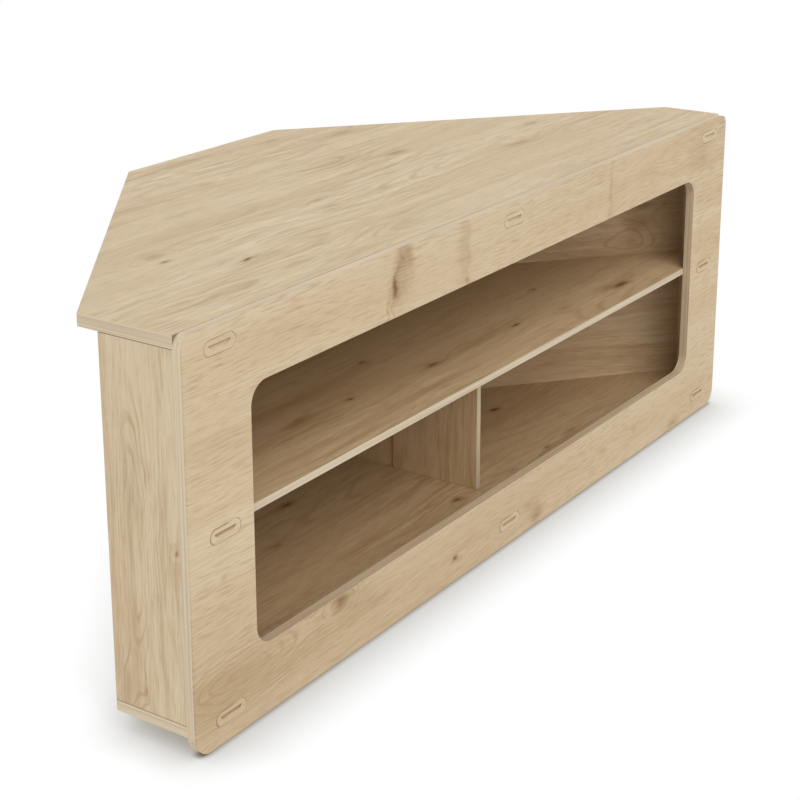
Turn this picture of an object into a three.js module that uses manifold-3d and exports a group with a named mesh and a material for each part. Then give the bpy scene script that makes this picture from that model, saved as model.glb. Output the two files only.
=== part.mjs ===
// A corner TV cabinet in light oak laminate board: a one-piece front frame with a rounded opening, a six-sided
// top, an open carcass with one shelf and a divider, and the fittings that hold it together. Its right side is
// shorter than its left.
// Millimetres. X runs from left to right as seen from the front, the front faces -Y, and +Z is up.
// The origin is on the floor, at the middle of the cabinet's width and depth.
import * as THREE from 'three';
import { mergeVertices } from 'three/addons/utils/BufferGeometryUtils.js';
import Module from 'manifold-3d';

const wasm = await Module();
wasm.setup();

// Overall sizes
const WIDTH = 1220;
const DEPTH = 490;
const HEIGHT = 453;

// The outline of the top: short sides square to the front, then two slanting sides and a narrow rear edge
const SIDE_EDGE_DEPTH = 135; // on the left, from the front face of the frame to the end of the top's short side
const REAR_EDGE_WIDTH = 300;
const RIGHT_SHORTENING = 35; // how much shorter the right side is, in the top and in the carcass

// Board thicknesses
const FRAME_BOARD = 12;
const TOP_BOARD = 14;
const BOTTOM_BOARD = 21;
const SIDE_BOARD = 12;
const BACK_BOARD = 12;
const SHELF_BOARD = 9;
const DIVIDER_BOARD = 9;
const RAIL_BOARD = 12;

// The front frame
const STILE_WIDTH = 100;
const BOTTOM_RAIL_HEIGHT = 82;
const TOP_RAIL_HEIGHT = 78;
const FRAME_TOP_RADIUS = 13;
const FRAME_FOOT_RADIUS = 24;
const OPENING_CORNER_RADIUS = 25;

// The carcass behind it
const FLOOR_GAP = 24; // height of the feet, from the floor to the bottom panel
const BOTTOM_REBATE = 9; // the side and back panels stand in a rebate round the bottom panel, this deep
const SIDE_PANEL_DEPTH = 96; // on the left, from the rear face of the frame
const REAR_OVERHANG = 30; // how far the top stands out past the rear centre panel
const LOWER_BAY_HEIGHT = 184; // from the bottom panel to the shelf
const RAIL_HEIGHT = 40; // the rail that hides under the top, behind the frame

// The divider, in two boards end to end, right of the middle
const DIVIDER_LEFT_FACE = 32;
const DIVIDER_SETBACK = 58; // from the rear face of the frame to the divider's front edge
const DIVIDER_LENGTH = 133;
const REAR_DIVIDER_STEP = 3; // the rear board stands a little further to the right

// The oval caps on the frame, which hide its screws
const CAP_LENGTH = 48;
const CAP_HEIGHT = 17;
const CAP_THICKNESS = 3;
const CAP_CHAMFER = 0.5;
const CAP_INSET = 55; // from the frame's side edge to the cap's middle
const TOP_CAP_DROP = 22; // from the frame's top edge to the cap's middle
const NOTCH_LENGTH = 34; // the finger notch, straight above and curved below
const NOTCH_HEIGHT = 6;
const NOTCH_DEPTH = 2;
const NOTCH_LIP = 0.2; // depth that is left at the notch's lower rim
const NOTCH_RISE = 2.5; // from the cap's middle up to the notch's straight edge

// Screws and dowels
const SHANK_DIAMETER = 4;
const HEAD_DIAMETER = 9;
const HEAD_THICKNESS = 3;
const SCREW_TIP = 3;
const EDGE_SCREW_LENGTH = 36; // below the head, into the edge of a board
const FACE_SCREW_LENGTH = 14; // below the head, into the face of a board
const SIDE_DOWEL_DIAMETER = 6;
const SIDE_DOWEL_LENGTH = 24;
const SHELF_DOWEL_DIAMETER = 5;
const SHELF_DOWEL_LENGTH = 24;
const DOWEL_SEAT = 8; // how deep a dowel sits in the face of a board
const DOWEL_CHAMFER = 0.8;
const FIXING_SETBACK = 23; // from a side panel's front and rear edge to its nearest fixing

// The feet
const FOOT_TOP_DIAMETER = 42;
const FOOT_BASE_DIAMETER = 36;
const FOOT_EDGE = 2; // the rounded rim at the foot's base
const FOOT_BORE_DIAMETER = 12;
const FOOT_WEB = 5; // what the screw clamps against the bottom panel
const FOOT_EDGE_DISTANCE = 60; // from the rear edges of the bottom panel to a foot's middle
const FRONT_FOOT_SHARE = 0.3; // where a slanting edge carries its two feet, as shares of its length
const REAR_FOOT_SHARE = 0.92;

// Fits
const FIT = 0.3; // clearance round fixings and between pieces that meet at an angle
const OVERRUN = 5; // how far a cutting tool stands out of what it cuts
const ROUND_SIDES = 14;
const FOOT_SIDES = 28;
const ARC_STEPS = 7;
const NOTCH_STEPS = 12;

// Heights that follow from the sizes above
const topUnderside = HEIGHT - TOP_BOARD;
const floorLevel = FLOOR_GAP + BOTTOM_BOARD;
const standLevel = floorLevel - BOTTOM_REBATE; // where the side and back panels stand
const shelfUnderside = floorLevel + LOWER_BAY_HEIGHT;
const shelfMiddle = shelfUnderside + SHELF_BOARD / 2;
const bottomFixing = (FLOOR_GAP + standLevel) / 2;
const topCapHeight = HEIGHT - TOP_CAP_DROP;

// Depths and widths, from the front face of the frame and from the middle
const halfWidth = WIDTH / 2;
const carcassFront = FRAME_BOARD;
const sideInner = halfWidth - SIDE_BOARD;
const rearFace = DEPTH - REAR_OVERHANG;
const middleDepth = DEPTH / 2;

const materials = {
  oak: new THREE.MeshStandardMaterial({ color: 0xd0b48c, roughness: 0.55, metalness: 0 }),
  oakInside: new THREE.MeshStandardMaterial({ color: 0xc2a27a, roughness: 0.6, metalness: 0 }),
  cap: new THREE.MeshStandardMaterial({ color: 0xcbb087, roughness: 0.5, metalness: 0 }),
  steel: new THREE.MeshStandardMaterial({ color: 0xa8a9a6, roughness: 0.35, metalness: 0.9 }),
  beech: new THREE.MeshStandardMaterial({ color: 0xd8bd92, roughness: 0.75, metalness: 0 }),
  plastic: new THREE.MeshStandardMaterial({ color: 0x2b2a29, roughness: 0.5, metalness: 0 }),
};

const v2 = (x, y) => new THREE.Vector2(x, y);
const v3 = (x, y, z) => new THREE.Vector3(x, y, z);

// Solid helpers

function toSolid(geometry) {
  const bare = geometry.index ? geometry.toNonIndexed() : geometry.clone();
  bare.deleteAttribute('normal');
  bare.deleteAttribute('uv');
  const merged = mergeVertices(bare, 1e-4);
  return new wasm.Manifold(
    new wasm.Mesh({
      numProp: 3,
      vertProperties: new Float32Array(merged.attributes.position.array),
      triVerts: new Uint32Array(merged.index.array),
    }),
  );
}

function toGeometry(solid) {
  const mesh = solid.getMesh();
  const geometry = new THREE.BufferGeometry();
  geometry.setAttribute('position', new THREE.BufferAttribute(mesh.vertProperties, mesh.numProp));
  geometry.setIndex(new THREE.BufferAttribute(mesh.triVerts, 1));
  geometry.computeVertexNormals();
  return geometry;
}

// Cuts each tool out of a mesh, wherever both are placed.
function cut(mesh, tools) {
  mesh.updateMatrixWorld(true);
  const toLocal = mesh.matrixWorld.clone().invert();
  let solid = toSolid(mesh.geometry);
  for (const tool of tools) {
    tool.updateMatrixWorld(true);
    const placed = tool.geometry.clone().applyMatrix4(tool.matrixWorld).applyMatrix4(toLocal);
    solid = solid.subtract(toSolid(placed));
  }
  mesh.geometry = toGeometry(solid);
}

function named(name, geometry, material) {
  const mesh = new THREE.Mesh(geometry, material);
  mesh.name = name;
  return mesh;
}

// A board lying flat, from its outline seen from above.
function flatBoard(name, outline, underside, thickness, material) {
  const geometry = new THREE.ExtrudeGeometry(new THREE.Shape(outline), { depth: thickness, bevelEnabled: false });
  const mesh = named(name, geometry, material);
  mesh.position.z = underside;
  return mesh;
}

// A rectangular board from its lowest corner and its sizes.
function box(name, corner, size, material) {
  const geometry = new THREE.BoxGeometry(size.x, size.y, size.z);
  const mesh = named(name, geometry, material);
  mesh.position.copy(corner).addScaledVector(size, 1 / 2);
  return mesh;
}

// A turned piece, from points (radius, distance along its axis); its axis runs from a place in a direction.
function turned(name, profile, sides, place, direction, material) {
  const mesh = named(name, new THREE.LatheGeometry(profile, sides), material);
  mesh.quaternion.setFromUnitVectors(v3(0, 1, 0), direction);
  mesh.position.copy(place);
  return mesh;
}

// Plan geometry of the slanting back

function crossing(p, along, q, across) {
  const t = (q.clone().sub(p).cross(across)) / along.cross(across);
  return p.clone().addScaledVector(along, t);
}

const sideways = v2(1, 0);
const backwards = v2(0, 1);

// The plan of one side of the cabinet, drawn as if it were the right side; sign is -1 on the left.
function sidePlan(sign, shortening) {
  const sideRear = carcassFront + SIDE_PANEL_DEPTH - shortening;
  const topCorner = v2(halfWidth, SIDE_EDGE_DEPTH - shortening);
  const slant = v2(REAR_EDGE_WIDTH / 2, DEPTH).sub(topCorner).normalize();
  const slantOut = v2(slant.y, -slant.x); // square to the slanting side, pointing out
  const sideInnerRear = v2(sideInner, sideRear);
  // Where a line that lies a given distance inside the back panel's outer face turns its corners
  const backLine = (inset) => {
    const start = sideInnerRear.clone().addScaledVector(slantOut, -inset);
    return {
      atSide: crossing(start, slant, sideInnerRear, backwards),
      atRear: crossing(start, slant, v2(0, rearFace - inset), sideways),
    };
  };
  const outer = backLine(0);
  const inner = backLine(BACK_BOARD);
  const shelfEdge = backLine(BACK_BOARD + FIT);
  return { sign, sideRear, topCorner, slant, slantOut, sideInnerRear, outer, inner, shelfEdge };
}

const plans = { left: sidePlan(-1, 0), right: sidePlan(1, RIGHT_SHORTENING) };

// Puts points of a side's plan where that side is.
const placed = (plan, p) => v2(plan.sign * p.x, p.y);
function placedOutline(plan, outline) {
  const points = outline.map((p) => placed(plan, p));
  return plan.sign > 0 ? points : points.reverse();
}

// Joins both sides' halves of an outline, each listed from the front.
const bothHalves = (half) => [plans.right, plans.left].flatMap((plan) => placedOutline(plan, half(plan)));

// Screws and dowels, each with the bore that it needs

function screwProfile(length, clearance, above) {
  const shank = SHANK_DIAMETER / 2 + clearance;
  const head = HEAD_DIAMETER / 2 + clearance;
  const end = HEAD_THICKNESS + length;
  return [
    v2(0, -above),
    v2(head, -above),
    v2(head, HEAD_THICKNESS + clearance),
    v2(shank, HEAD_THICKNESS + clearance),
    v2(shank, end - SCREW_TIP + clearance),
    v2(0, end + clearance),
  ];
}

// The place is the outer face of the head, and the screw runs in the direction given.
function screw(name, place, direction, length, bored) {
  const body = turned(name, screwProfile(length, 0, 0), ROUND_SIDES, place, direction, materials.steel);
  const bore = turned('bore', screwProfile(length, FIT, OVERRUN), ROUND_SIDES, place, direction, null);
  for (const board of bored) board.userData.bores.push(bore);
  return body;
}

function dowelProfile(diameter, length, clearance) {
  const radius = diameter / 2 + clearance;
  const chamfer = DOWEL_CHAMFER - clearance;
  return [
    v2(0, -clearance),
    v2(radius - chamfer, -clearance),
    v2(radius, chamfer - clearance),
    v2(radius, length - chamfer + clearance),
    v2(radius - chamfer, length + clearance),
    v2(0, length + clearance),
  ];
}

function dowel(name, place, direction, diameter, length, bored) {
  const profile = dowelProfile(diameter, length, 0);
  const body = turned(name, profile, ROUND_SIDES, place, direction, materials.beech);
  const bore = turned('bore', dowelProfile(diameter, length, FIT), ROUND_SIDES, place, direction, null);
  for (const board of bored) board.userData.bores.push(bore);
  return body;
}

const up = v3(0, 0, 1);
const inwards = v3(0, 1, 0); // from the front into the cabinet

// Boards

function roundedOutline(Kind, left, right, low, high, radius, highRadius = radius) {
  const path = new Kind();
  path.moveTo(left + radius, low);
  path.lineTo(right - radius, low);
  path.absarc(right - radius, low + radius, radius, -Math.PI / 2, 0, false);
  path.lineTo(right, high - highRadius);
  path.absarc(right - highRadius, high - highRadius, highRadius, 0, Math.PI / 2, false);
  path.lineTo(left + highRadius, high);
  path.absarc(left + highRadius, high - highRadius, highRadius, Math.PI / 2, Math.PI, false);
  path.lineTo(left, low + radius);
  path.absarc(left + radius, low + radius, radius, Math.PI, (3 * Math.PI) / 2, false);
  return path;
}

// An outline drawn in width and height, given a thickness that runs from the front into the cabinet.
function uprightExtrusion(shape, thickness) {
  const geometry = new THREE.ExtrudeGeometry(shape, {
    depth: thickness,
    bevelEnabled: false,
    curveSegments: ARC_STEPS,
  });
  return geometry.rotateX(Math.PI / 2).translate(0, thickness, 0);
}

function frontFrame() {
  const radii = [FRAME_FOOT_RADIUS, FRAME_TOP_RADIUS];
  const shape = roundedOutline(THREE.Shape, -halfWidth, halfWidth, 0, HEIGHT, ...radii);
  const openingSide = halfWidth - STILE_WIDTH;
  const openingTop = HEIGHT - TOP_RAIL_HEIGHT;
  shape.holes.push(
    roundedOutline(THREE.Path, -openingSide, openingSide, BOTTOM_RAIL_HEIGHT, openingTop, OPENING_CORNER_RADIUS),
  );
  return named('front_frame', uprightExtrusion(shape, FRAME_BOARD), materials.oak);
}

function topPanel() {
  const half = (plan) => [v2(halfWidth, carcassFront), plan.topCorner, v2(REAR_EDGE_WIDTH / 2, DEPTH)];
  return flatBoard('top_panel', bothHalves(half), topUnderside, TOP_BOARD, materials.oak);
}

// What the side and back panels leave free between them, for the shelf and for the raised floor.
const insideOutline = bothHalves((plan) => [
  v2(sideInner, carcassFront),
  plan.shelfEdge.atSide,
  plan.shelfEdge.atRear,
]);

function bottomPanel() {
  const half = (plan) => [
    v2(halfWidth, carcassFront),
    v2(halfWidth, plan.sideRear),
    plan.sideInnerRear,
    plan.outer.atRear,
  ];
  const base = flatBoard('bottom_panel', bothHalves(half), FLOOR_GAP, BOTTOM_BOARD - BOTTOM_REBATE, materials.oak);
  const floor = flatBoard('floor', insideOutline, FLOOR_GAP, BOTTOM_BOARD, null);
  base.geometry = toGeometry(toSolid(base.geometry).add(toSolid(floor.geometry)));
  return base;
}

function shelfBoard() {
  return flatBoard('shelf', insideOutline, shelfUnderside, SHELF_BOARD, materials.oakInside);
}

function sidePanel(name, plan) {
  const size = v3(SIDE_BOARD, plan.sideRear - carcassFront, topUnderside - standLevel);
  const left = plan.sign > 0 ? sideInner : -halfWidth;
  return box(name, v3(left, carcassFront, standLevel), size, materials.oak);
}

// The back panels meet at mitred corners, half a clearance short of the mitre on each side.
function mitreGap(plan) {
  const mitre = plan.outer.atRear.clone().sub(plan.inner.atRear).normalize();
  return v2(mitre.y, -mitre.x).multiplyScalar(FIT / 2);
}

function backPanelOutline(plan) {
  const gap = mitreGap(plan);
  return placedOutline(plan, [
    plan.sideInnerRear,
    plan.outer.atRear.clone().add(gap),
    plan.inner.atRear.clone().add(gap),
    plan.inner.atSide,
  ]);
}

function rearPanelOutline() {
  return bothHalves((plan) => {
    const gap = mitreGap(plan);
    return [plan.inner.atRear.clone().sub(gap), plan.outer.atRear.clone().sub(gap)];
  });
}

function uprightBoard(name, outline) {
  return flatBoard(name, outline, standLevel, topUnderside - standLevel, materials.oakInside);
}

const boards = {
  frame: frontFrame(),
  top: topPanel(),
  bottom: bottomPanel(),
  shelf: shelfBoard(),
  leftSide: sidePanel('left_side_panel', plans.left),
  rightSide: sidePanel('right_side_panel', plans.right),
  leftBack: uprightBoard('left_back_panel', backPanelOutline(plans.left)),
  rightBack: uprightBoard('right_back_panel', backPanelOutline(plans.right)),
  rearBack: uprightBoard('rear_centre_panel', rearPanelOutline()),
  rail: box(
    'top_front_rail',
    v3(-sideInner, carcassFront, topUnderside - RAIL_HEIGHT),
    v3(2 * sideInner, RAIL_BOARD, RAIL_HEIGHT),
    materials.oakInside,
  ),
};

const dividerFront = carcassFront + DIVIDER_SETBACK;
const dividerRear = dividerFront + DIVIDER_LENGTH;
const rearDividerEnd = rearFace - BACK_BOARD;
const rearDividerLeft = DIVIDER_LEFT_FACE + REAR_DIVIDER_STEP;

boards.divider = box(
  'centre_divider',
  v3(DIVIDER_LEFT_FACE, dividerFront, floorLevel),
  v3(DIVIDER_BOARD, DIVIDER_LENGTH, LOWER_BAY_HEIGHT),
  materials.oakInside,
);
boards.rearDivider = box(
  'rear_divider',
  v3(rearDividerLeft, dividerRear, floorLevel),
  v3(DIVIDER_BOARD, rearDividerEnd - dividerRear, LOWER_BAY_HEIGHT),
  materials.oakInside,
);
for (const board of Object.values(boards)) board.userData.bores = [];

// The oval caps and the screws behind them

function capOutline(clearance) {
  const radius = CAP_HEIGHT / 2 + clearance;
  const half = CAP_LENGTH / 2 + clearance;
  return roundedOutline(THREE.Shape, -half, half, -radius, radius, radius);
}

// A plate with a chamfered front edge: the chamfer is the extrusion's bevel, on the front only.
function capPlate() {
  const bevelled = new THREE.ExtrudeGeometry(capOutline(-CAP_CHAMFER), {
    depth: CAP_THICKNESS,
    bevelEnabled: true,
    bevelThickness: CAP_CHAMFER,
    bevelSize: CAP_CHAMFER,
    bevelSegments: 1,
    curveSegments: ARC_STEPS,
  });
  bevelled.rotateX(Math.PI / 2).translate(0, CAP_THICKNESS + CAP_CHAMFER, 0);
  const behind = new THREE.BoxGeometry(2 * CAP_LENGTH, OVERRUN, 2 * CAP_HEIGHT);
  behind.translate(0, CAP_THICKNESS + OVERRUN / 2, 0);
  return toSolid(bevelled).subtract(toSolid(behind));
}

// The notch has a straight upper edge, where it is deepest, and rises to its curved lower rim.
function notchTool() {
  const half = NOTCH_LENGTH / 2;
  const shape = new THREE.Shape();
  shape.moveTo(-half, NOTCH_RISE);
  for (let i = 1; i < NOTCH_STEPS; i++) {
    const angle = Math.PI + (Math.PI * i) / NOTCH_STEPS;
    shape.lineTo(half * Math.cos(angle), NOTCH_RISE + NOTCH_HEIGHT * Math.sin(angle));
  }
  shape.lineTo(half, NOTCH_RISE);
  const geometry = uprightExtrusion(shape, OVERRUN);
  const place = geometry.attributes.position;
  for (let i = 0; i < place.count; i++) {
    const share = (NOTCH_RISE - place.getZ(i)) / NOTCH_HEIGHT;
    const floor = NOTCH_DEPTH + (NOTCH_LIP - NOTCH_DEPTH) * share;
    place.setY(i, place.getY(i) > OVERRUN / 2 ? floor : -OVERRUN);
  }
  return toSolid(geometry);
}

const capGeometry = toGeometry(capPlate().subtract(notchTool()));

function capWithScrew(name, x, z, screwLength, bored) {
  const cap = named('cap_' + name, capGeometry, materials.cap);
  cap.position.set(x, 0, z);
  const pocket = named('pocket', uprightExtrusion(capOutline(FIT), CAP_THICKNESS + FIT + OVERRUN), null);
  pocket.position.set(x, -OVERRUN, z);
  boards.frame.userData.bores.push(pocket);
  const headFace = v3(x, CAP_THICKNESS + FIT, z);
  return [cap, screw('frame_screw_' + name, headFace, inwards, screwLength, [boards.frame, ...bored])];
}

const capSide = halfWidth - CAP_INSET;
const places = [
  ['left', -capSide],
  ['middle', 0],
  ['right', capSide],
];
const frameFixings = [];
for (const [side, x] of places) {
  frameFixings.push(...capWithScrew('top_' + side, x, topCapHeight, FACE_SCREW_LENGTH, [boards.rail]));
  frameFixings.push(...capWithScrew('bottom_' + side, x, bottomFixing, EDGE_SCREW_LENGTH, [boards.bottom]));
}
for (const [side, x] of [places[0], places[2]]) {
  frameFixings.push(...capWithScrew('shelf_' + side, x, shelfMiddle, EDGE_SCREW_LENGTH, [boards.shelf]));
}

// Fixings of the side panels: screws from below, dowels above and dowels at the ends of the shelf

const carcassFixings = [];
const sides = [
  ['left', plans.left, boards.leftSide, boards.leftBack],
  ['right', plans.right, boards.rightSide, boards.rightBack],
];
for (const [side, plan, panel] of sides) {
  const x = plan.sign * (halfWidth - SIDE_BOARD / 2);
  const ends = [
    ['front', carcassFront + FIXING_SETBACK],
    ['rear', plan.sideRear - FIXING_SETBACK],
  ];
  for (const [end, y] of ends) {
    const label = side + '_' + end;
    carcassFixings.push(
      screw('side_screw_' + label, v3(x, y, FLOOR_GAP), up, EDGE_SCREW_LENGTH, [boards.bottom, panel]),
      dowel(
        'top_dowel_' + label,
        v3(x, y, topUnderside + DOWEL_SEAT - SIDE_DOWEL_LENGTH),
        up,
        SIDE_DOWEL_DIAMETER,
        SIDE_DOWEL_LENGTH,
        [boards.top, panel],
      ),
      dowel(
        'shelf_dowel_' + label,
        v3(plan.sign * (sideInner + DOWEL_SEAT), y, shelfMiddle),
        v3(-plan.sign, 0, 0),
        SHELF_DOWEL_DIAMETER,
        SHELF_DOWEL_LENGTH,
        [boards.shelf, panel],
      ),
    );
  }
}

// Screws through the back panels into the shelf, and through the bottom panel into the boards that stand on it

// A place on a back panel's outer face, as a share of the panel's length from the side panel.
function alongBack(plan, share) {
  return plan.outer.atSide.clone().lerp(plan.outer.atRear, share);
}

const backScrewShares = { front: 0.25, rear: 0.75 };
const flat = (p, z) => v3(p.x, p.y, z);

for (const [side, plan, , back] of sides) {
  const into = flat(placed(plan, plan.slantOut), 0).negate();
  for (const [end, share] of Object.entries(backScrewShares)) {
    const place = flat(placed(plan, alongBack(plan, share)), shelfMiddle);
    carcassFixings.push(
      screw('back_screw_' + side + '_' + end, place, into, EDGE_SCREW_LENGTH, [back, boards.shelf]),
    );
  }
  const foot = alongBack(plan, 1 / 2).addScaledVector(plan.slantOut, -BACK_BOARD / 2);
  const under = flat(placed(plan, foot), FLOOR_GAP);
  carcassFixings.push(
    screw('base_screw_' + side + '_back', under, up, EDGE_SCREW_LENGTH, [boards.bottom, back]),
  );
}
carcassFixings.push(
  screw(
    'back_screw_centre',
    v3(0, rearFace, shelfMiddle),
    v3(0, -1, 0),
    EDGE_SCREW_LENGTH,
    [boards.rearBack, boards.shelf],
  ),
  screw(
    'base_screw_rear_back',
    v3(0, rearFace - BACK_BOARD / 2, FLOOR_GAP),
    up,
    EDGE_SCREW_LENGTH,
    [boards.bottom, boards.rearBack],
  ),
);

function underDivider(name, left, y, board) {
  const place = v3(left + DIVIDER_BOARD / 2, y, FLOOR_GAP);
  return screw(name, place, up, EDGE_SCREW_LENGTH, [boards.bottom, board]);
}

carcassFixings.push(
  underDivider('divider_screw_front', DIVIDER_LEFT_FACE, dividerFront + FIXING_SETBACK, boards.divider),
  underDivider('divider_screw_rear', DIVIDER_LEFT_FACE, dividerRear - FIXING_SETBACK, boards.divider),
  underDivider('rear_divider_screw', rearDividerLeft, (dividerRear + rearDividerEnd) / 2, boards.rearDivider),
);

// The feet under the bottom panel, each held by a screw from below

function footProfile() {
  const through = SHANK_DIAMETER / 2 + FIT;
  const bore = FOOT_BORE_DIAMETER / 2;
  const base = FOOT_BASE_DIAMETER / 2;
  return [
    v2(through, FLOOR_GAP),
    v2(through, FLOOR_GAP - FOOT_WEB),
    v2(bore, FLOOR_GAP - FOOT_WEB),
    v2(bore, 0),
    v2(base - FOOT_EDGE, 0),
    v2(base, FOOT_EDGE),
    v2(FOOT_TOP_DIAMETER / 2, FLOOR_GAP - FOOT_EDGE),
    v2(FOOT_TOP_DIAMETER / 2, FLOOR_GAP),
    v2(through, FLOOR_GAP),
  ];
}

const feet = [];
const headFace = FLOOR_GAP - FOOT_WEB - FIT - HEAD_THICKNESS;
for (const [side, plan] of sides) {
  for (const [end, share] of [['front', FRONT_FOOT_SHARE], ['rear', REAR_FOOT_SHARE]]) {
    const p = placed(plan, alongBack(plan, share).addScaledVector(plan.slantOut, -FOOT_EDGE_DISTANCE));
    const label = side + '_' + end;
    feet.push(
      turned('foot_' + label, footProfile(), FOOT_SIDES, flat(p, 0), up, materials.plastic),
      screw('foot_screw_' + label, flat(p, headFace), up, FACE_SCREW_LENGTH, [boards.bottom]),
    );
  }
}

for (const board of Object.values(boards)) cut(board, board.userData.bores);

function groupOf(parts) {
  const group = new THREE.Group();
  group.add(...parts);
  return group;
}

const cabinet = groupOf([
  groupOf(Object.values(boards)),
  groupOf(frameFixings),
  groupOf(carcassFixings),
  groupOf(feet),
]);
cabinet.position.y = -middleDepth; // the origin is at the middle of the depth

export default cabinet;
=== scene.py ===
"""A corner TV cabinet in light oak laminate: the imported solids, dressed and lit as in the photograph.

Metres, in the row's frame: X to the right as seen from the front, the front faces -Y, Z up.
"""
import math
from dataclasses import dataclass

import bpy
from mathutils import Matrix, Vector


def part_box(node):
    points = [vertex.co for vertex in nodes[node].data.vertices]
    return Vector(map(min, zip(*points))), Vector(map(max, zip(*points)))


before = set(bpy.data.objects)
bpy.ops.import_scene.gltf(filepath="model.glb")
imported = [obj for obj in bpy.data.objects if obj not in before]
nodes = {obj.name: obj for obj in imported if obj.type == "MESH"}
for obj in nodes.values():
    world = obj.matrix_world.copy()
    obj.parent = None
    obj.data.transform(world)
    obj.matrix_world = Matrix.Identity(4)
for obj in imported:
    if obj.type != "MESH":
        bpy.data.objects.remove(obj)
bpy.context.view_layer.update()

X_AXIS = (1, 0, 0)
Y_AXIS = (0, 1, 0)
Z_AXIS = (0, 0, 1)
FORWARD = (0, -1, 0)

# Camera, fitted to the photograph's corners
CAMERA_PLACE = (-1.7964, -1.3044, 0.9992)
CAMERA_AZIMUTH = math.radians(55.887)
CAMERA_ELEVATION = math.radians(16.598)
CAMERA_LENS = 80.06
CAMERA_SHIFT = (-0.0090, -0.175)
SENSOR_WIDTH = 36

# Light
WHITE = (1.0, 1.0, 1.0, 1)
SKY_STRENGTH = 0.70
KEY_STRENGTH = 1.45
KEY_AZIMUTH = math.radians(34)  # the sun stands in front of the cabinet, this far to its left
KEY_ELEVATION = math.radians(40)
KEY_SPREAD = math.radians(50)

# Floor, and the soft shadow that shows on it where the cabinet is near
FLOOR_COLOUR = (0.9, 0.9, 0.9, 1)
FLOOR_REACH = 30
SHADOW_REACH = 0.08
SIDE_SHADOW_REACH = 0.052
SHADOW_SIDE = (-0.54, -0.62)  # going left between these places, the shadow's reach falls to that of the side
SHADOW_TONE = (0.27, 0.245, 0.185, 1)  # the floor's tone where nothing of the sky would reach it
SHADOW_DEPTH = (-0.14, -0.05)  # going back between these places, the shadow fades to the next share of itself
BACK_SHADOW_SHARE = 0.7
CONTACT_REACH = 0.007  # a thin painted contact shadow where the frame stands on the floor
CONTACT_TONE = (0.10, 0.05, 0.03, 1)

# Rounding of the arrises
EDGE_ROUNDING = 0.0007
CAP_ROUNDING = 0.0003
ROUNDING_STEPS = 2
ROUNDING_ANGLE = math.radians(35)
WELD_DISTANCE = 0.00002

# The front frame: its face's laminate wraps over the outer arrises, which lie past these places, by the lip
FRAME_FRONT = -0.245
FACE_LIP = 0.0025
OUTER_SIDE = 0.600
OUTER_TOP = 0.445
# The edge round the frame's opening lies within these places
INNER_SIDE = 0.56
INNER_BOTTOM = 0.05
INNER_TOP = 0.41
# Painted contact shade darkens the frame's lower arris between these heights
FOOT_SHADE_HEIGHTS = (0.0028, 0.0006)
FOOT_SHADE_SHARE = 0.75

# Places to the right where a line of painted shade ends: between top and frame, in the gap behind the frame's
# left corner, and past the cabinet
TOP_SEAM_END = 0.597
CORNER_GAP_SHADE_END = -0.590
NO_END = 1.0

# How far a face has to look one way, to count as an edge, as an arris or as facing the front
EDGE_FACING = (0.80, 0.60)
ARRIS_FACING = (0.80, 0.88)
FRONT_FACING = (0.80, 0.95)

# The caps
CAP_SHIFT = 66.2
CAP_STROKES = 0.3
CAP_FIGURE = 0.4
CAP_PALENESS = 0.08
CAP_RIM = 0.0020
# The rim's painted shade on the upper left and painted highlight on the lower right
CAP_RIM_SHADE = 0.75
CAP_RIM_HIGHLIGHT = 0.35
UPPER_LEFT = (0.1, 1.0)  # where on the rim its line of painted shade begins and is full
LOWER_RIGHT = (-0.1, -1.0)  # and the same for its line of painted highlight
# Painted shade in the finger notch: brown past the first depth, dark in the deepest part
NOTCH_SHADE_DEPTH = (0.0003, 0.0012)
NOTCH_SHADE_SHARE = 0.75
NOTCH_DEEP_SHADE_DEPTH = (0.0012, 0.0020)
NOTCH_DEEP_SHADE_SHARE = 0.65
OPENING_TOP = 0.375
UPPER_CAP_SHARE = 0.45  # notch and rim of the three upper caps are paler in the photograph

# Finish of the surfaces
OAK_ROUGHNESS = 0.6
CAP_ROUGHNESS = 0.55
OAK_SPECULAR = 0.3
OAK_RELIEF = 0.0004
PLAIN_RELIEF = 0.0002
RELIEF_STRENGTH = 0.15
MOTTLE_DETAIL = 3.0

# Oak tones, linear
OAK_PALE = (0.690, 0.575, 0.412, 1)
OAK_LIGHT = (0.640, 0.520, 0.360, 1)
OAK_MIDDLE = (0.570, 0.440, 0.282, 1)
OAK_TAN = (0.420, 0.290, 0.165, 1)
OAK_BROWN = (0.300, 0.180, 0.080, 1)
OAK_DARK = (0.100, 0.050, 0.020, 1)
# Painted shade in the seams between boards and in the gap behind the frame's left corner
SEAM_SHADE = (0.260, 0.180, 0.115, 1)
# Painted contact shade on the frame's lower arris
FOOT_SHADE_COLOUR = (0.300, 0.270, 0.205, 1)
EDGE_BAND = (0.650, 0.545, 0.390, 1)
EDGE_BAND_STREAK = (0.540, 0.430, 0.295, 1)

# Tints that each board's laminate or edge is multiplied by
TOP_TINT = (1.0, 0.992, 0.965, 1)
FRAME_TINT = (1.0, 1.0, 0.972, 1)
SIDE_TINT = (1.0, 0.99, 0.965, 1)
# The shelf, back and inner floor tints are darker and warmer: painted shade and warm bounce light inside the
# cabinet
SHELF_SHADE_TINT = (0.92, 0.83, 0.71, 1)
BACK_SHADE_TINT = (0.88, 0.81, 0.72, 1)
INNER_FLOOR_SHADE_TINT = (0.81, 0.71, 0.59, 1)
SHELF_EDGE_TINT = (0.93, 0.94, 0.97, 1)
DIVIDER_EDGE_TINT = (0.92, 0.945, 0.91, 1)
# The opening's edge tint is painted shade on the edges that face into the opening
OPENING_EDGE_SHADE = (0.86, 0.81, 0.76, 1)

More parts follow.
